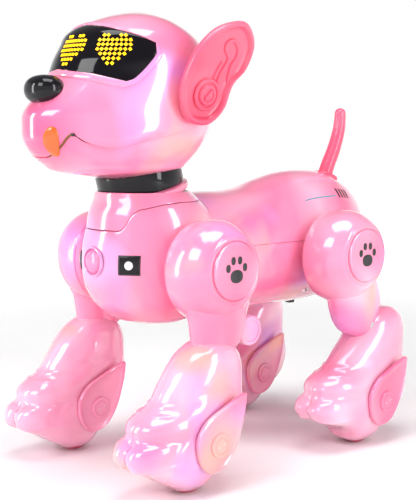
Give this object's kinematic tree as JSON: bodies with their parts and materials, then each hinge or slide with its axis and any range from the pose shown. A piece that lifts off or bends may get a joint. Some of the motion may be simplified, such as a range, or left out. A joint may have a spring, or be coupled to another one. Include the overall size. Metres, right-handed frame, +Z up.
{
  "type": "robot dog toy",
  "caption": "Walking robot dog toy with a dark face screen, turning head and ears, soft tail, swinging legs and boots that stand on rollers.",
  "frame": {"origin": "on the floor, under the middle of the whole toy's box", "axes": "+Z up, -Y the way that the dog looks, +X towards its left side"},
  "size_m": [0.164, 0.277, 0.283],
  "materials": {
    "pearl_pink": "pearlescent gloss with pink, lilac and peach tints",
    "coral_soft": "satin soft plastic",
    "black_gloss": "black gloss",
    "button_pink": "gloss",
    "tongue_orange": "gloss",
    "roller_red": "satin rubber",
    "board_green": "matte",
    "cell_white": "matte",
    "gearbox_white": "matte",
    "speaker_dark": "matte",
    "steel": "brushed"
  },
  "bodies": {
    "torso": {"back_shell": "pearl_pink", "belly_shell": "pearl_pink", "battery_door": "pearl_pink", "battery_pack": "cell_white", "main_board": "board_green", "leg_gearboxes": "gearbox_white", "speaker": "speaker_dark", "neck_yoke": "pearl_pink", "chest_shell": "pearl_pink", "sensor_windows": "black_gloss", "body_screws": "steel", "neck_collar": "black_gloss"},
    "head": {"head_upper_shell": "pearl_pink", "head_lower_shell": "pearl_pink", "visor": "black_gloss", "led_board": "board_green", "nose": "black_gloss", "tongue": "tongue_orange"},
    "left_ear": {"left_ear": "coral_soft"},
    "right_ear": {"right_ear": "coral_soft"},
    "tail": {"tail": "coral_soft"},
    "chest_button": {"chest_button": "button_pink"},
    "power_switch": {"power_switch": "speaker_dark"},
    "left_front_thigh": {"left_front_thigh_outer": "pearl_pink", "left_front_thigh_inner": "pearl_pink", "left_front_cap": "pearl_pink", "left_front_knee_link": "pearl_pink"},
    "left_front_shank": {"left_front_boot_outer": "pearl_pink", "left_front_boot_inner": "pearl_pink", "left_front_boot_pins": "steel", "left_front_wheel_covers": "pearl_pink"},
    "left_front_wheel": {"left_front_wheel": "roller_red"},
    "left_rear_thigh": {"left_rear_thigh_outer": "pearl_pink", "left_rear_thigh_inner": "pearl_pink", "left_rear_cap": "pearl_pink", "left_rear_knee_link": "pearl_pink"},
    "left_rear_shank": {"left_rear_boot_outer": "pearl_pink", "left_rear_boot_inner": "pearl_pink", "left_rear_boot_pins": "steel", "left_rear_wheel_covers": "pearl_pink"},
    "left_rear_wheel": {"left_rear_wheel": "roller_red"},
    "right_front_thigh": {"right_front_thigh_outer": "pearl_pink", "right_front_thigh_inner": "pearl_pink", "right_front_cap": "pearl_pink", "right_front_knee_link": "pearl_pink"},
    "right_front_shank": {"right_front_boot_outer": "pearl_pink", "right_front_boot_inner": "pearl_pink", "right_front_boot_pins": "steel", "right_front_wheel_covers": "pearl_pink"},
    "right_front_wheel": {"right_front_wheel": "roller_red"},
    "right_rear_thigh": {"right_rear_thigh_outer": "pearl_pink", "right_rear_thigh_inner": "pearl_pink", "right_rear_cap": "pearl_pink", "right_rear_knee_link": "pearl_pink"},
    "right_rear_shank": {"right_rear_boot_outer": "pearl_pink", "right_rear_boot_inner": "pearl_pink", "right_rear_boot_pins": "steel", "right_rear_wheel_covers": "pearl_pink"},
    "right_rear_wheel": {"right_rear_wheel": "roller_red"}
  },
  "joints": [
    {"name": "head_turn", "type": "hinge", "parent": "torso", "child": "head", "pos_m": [0, -0.058, 0.182], "axis": [0, -0.2419, 0.9703], "range_deg": [-35, 35]},
    {"name": "left_ear_turn", "type": "hinge", "parent": "head", "child": "left_ear", "pos_m": [0.038, -0.047, 0.236], "axis": [0.9781, 0, -0.2079], "range_deg": [-20, 60]},
    {"name": "right_ear_turn", "type": "hinge", "parent": "head", "child": "right_ear", "pos_m": [-0.038, -0.047, 0.236], "axis": [-0.9781, 0, -0.2079], "range_deg": [-25, 55]},
    {"name": "tail_wag", "type": "hinge", "parent": "torso", "child": "tail", "pos_m": [0, 0.115, 0.1725], "axis": [0, 1, 0], "range_deg": [-18, 18], "stiffness_Nm_per_rad": 0.08},
    {"name": "chest_button_press", "type": "slide", "parent": "torso", "child": "chest_button", "axis": [0, 1, 0], "range_m": [0, 0.0015], "stiffness_N_per_m": 300},
    {"name": "power_switch_slide", "type": "slide", "parent": "torso", "child": "power_switch", "axis": [0, 1, 0], "range_m": [0, 0.004]},
    {"name": "left_front_shoulder", "type": "hinge", "parent": "torso", "child": "left_front_thigh", "pos_m": [0.058, -0.048, 0.1295], "axis": [-1, 0, 0], "range_deg": [-12, 55]},
    {"name": "left_front_knee", "type": "hinge", "parent": "left_front_thigh", "child": "left_front_shank", "pos_m": [0.058, -0.05, 0.08], "axis": [-1, 0, 0], "range_deg": [-7, 7]},
    {"name": "left_front_wheel_spin", "type": "hinge", "parent": "left_front_shank", "child": "left_front_wheel", "pos_m": [0.058, -0.0715, 0.016], "axis": [1, 0, 0], "continuous": true},
    {"name": "left_rear_hip", "type": "hinge", "parent": "torso", "child": "left_rear_thigh", "pos_m": [0.058, 0.07, 0.1295], "axis": [-1, 0, 0], "range_deg": [-45, 25]},
    {"name": "left_rear_knee", "type": "hinge", "parent": "left_rear_thigh", "child": "left_rear_shank", "pos_m": [0.058, 0.087, 0.08], "axis": [-1, 0, 0], "range_deg": [-7, 7]},
    {"name": "left_rear_wheel_spin", "type": "hinge", "parent": "left_rear_shank", "child": "left_rear_wheel", "pos_m": [0.058, 0.081, 0.016], "axis": [1, 0, 0], "continuous": true},
    {"name": "right_front_shoulder", "type": "hinge", "parent": "torso", "child": "right_front_thigh", "pos_m": [-0.058, -0.048, 0.1295], "axis": [-1, 0, 0], "range_deg": [-12, 55]},
    {"name": "right_front_knee", "type": "hinge", "parent": "right_front_thigh", "child": "right_front_shank", "pos_m": [-0.058, -0.05, 0.08], "axis": [-1, 0, 0], "range_deg": [-7, 7]},
    {"name": "right_front_wheel_spin", "type": "hinge", "parent": "right_front_shank", "child": "right_front_wheel", "pos_m": [-0.058, -0.0715, 0.016], "axis": [1, 0, 0], "continuous": true},
    {"name": "right_rear_hip", "type": "hinge", "parent": "torso", "child": "right_rear_thigh", "pos_m": [-0.058, 0.07, 0.1295], "axis": [-1, 0, 0], "range_deg": [-45, 25]},
    {"name": "right_rear_knee", "type": "hinge", "parent": "right_rear_thigh", "child": "right_rear_shank", "pos_m": [-0.058, 0.087, 0.08], "axis": [-1, 0, 0], "range_deg": [-7, 7]},
    {"name": "right_rear_wheel_spin", "type": "hinge", "parent": "right_rear_shank", "child": "right_rear_wheel", "pos_m": [-0.058, 0.081, 0.016], "axis": [1, 0, 0], "continuous": true}
  ]
}
